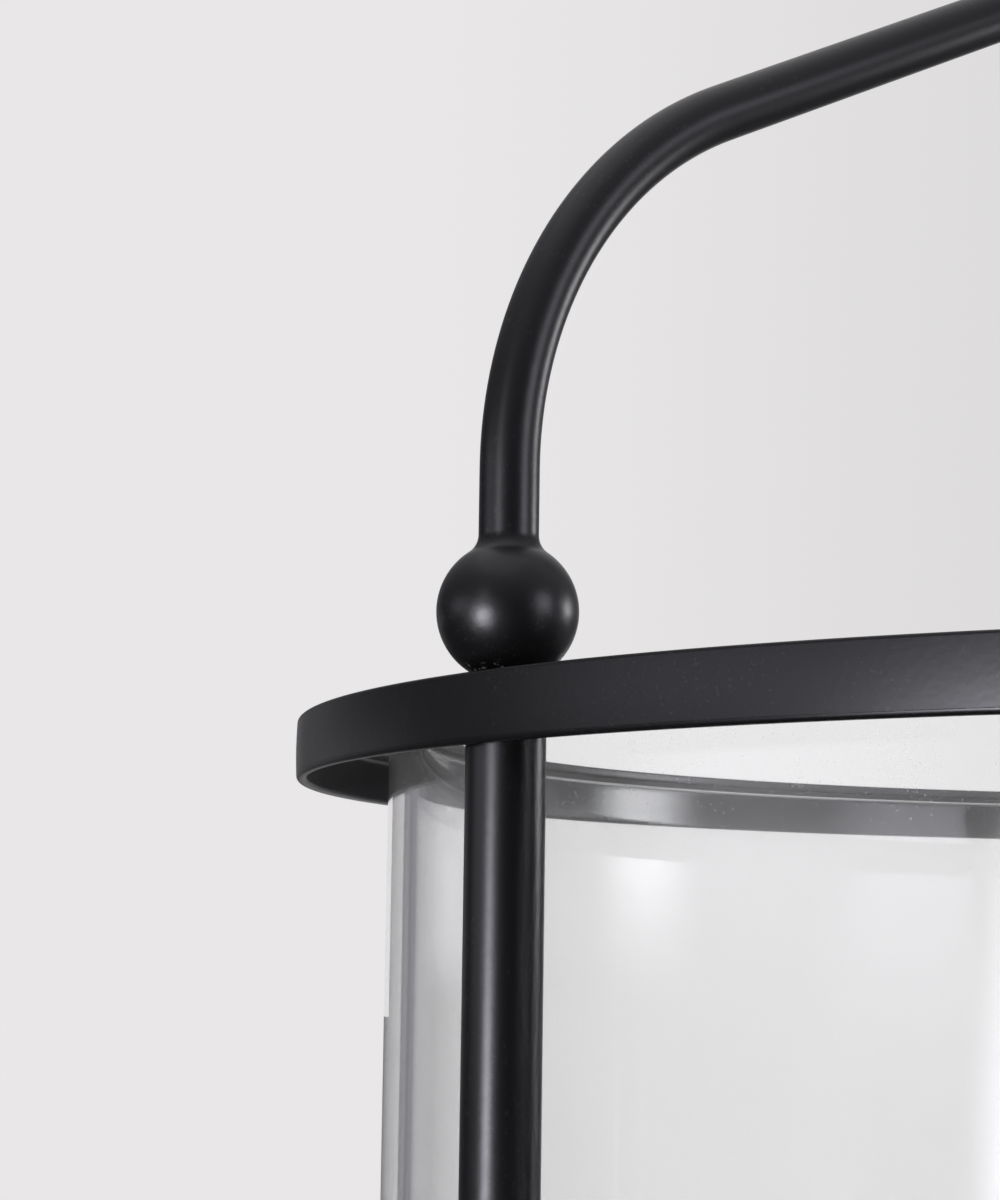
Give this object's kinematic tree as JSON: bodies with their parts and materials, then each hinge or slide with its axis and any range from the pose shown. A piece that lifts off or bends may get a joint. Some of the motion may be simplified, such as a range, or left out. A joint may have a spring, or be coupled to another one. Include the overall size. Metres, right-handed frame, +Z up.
{
  "type": "hurricane candle lantern",
  "caption": "Black metal candle lantern with a clear glass cylinder, slim posts with ball joints, curved arms to a crown hub, ball feet and a swinging carry ring.",
  "frame": {"origin": "on the surface it stands on, below the centre of the glass cylinder", "axes": "+Z up through the crown hub; -Y towards the first post; the carry ring hangs towards +Y"},
  "size_m": [0.31, 0.31, 0.5072],
  "materials": {
    "black_coat": "satin powder coat",
    "clear_glass": "clear, polished",
    "black_rubber": "matte",
    "plated_steel": "zinc plated",
    "candle_wax": "smooth wax",
    "cotton_wick": "braided cotton"
  },
  "bodies": {
    "frame": {"upper_ring": "black_coat", "crown_hub": "black_coat", "finial_eye": "black_coat", "base_pan": "black_coat", "glass_collar": "black_coat", "candle_pan": "black_coat", "glass_chimney": "clear_glass", "glass_gasket": "black_rubber", "foot_pads": "black_rubber", "finial_nut": "plated_steel", "candle_spike": "plated_steel", "spike_washer": "plated_steel", "spike_nut": "plated_steel", "ring_studs": "plated_steel", "foot_studs": "plated_steel", "hub_grub_screws": "plated_steel", "post_1": "black_coat", "post_2": "black_coat", "post_3": "black_coat", "post_ball_1": "black_coat", "post_ball_2": "black_coat", "post_ball_3": "black_coat", "arm_1": "black_coat", "arm_2": "black_coat", "arm_3": "black_coat", "foot_ball_1": "black_coat", "foot_ball_2": "black_coat", "foot_ball_3": "black_coat"},
    "carry_ring": {"carry_ring": "black_coat"},
    "candle": {"candle": "candle_wax", "wick": "cotton_wick"}
  },
  "joints": [
    {"name": "carry_ring_swing", "type": "hinge", "parent": "frame", "child": "carry_ring", "pos_m": [0, 0, 0.49937], "axis": [1, 0, 0], "range_deg": [0, 304]},
    {"name": "candle_lift", "type": "slide", "parent": "frame", "child": "candle", "axis": [0, 0, 1], "range_m": [0, 0.28]}
  ]
}
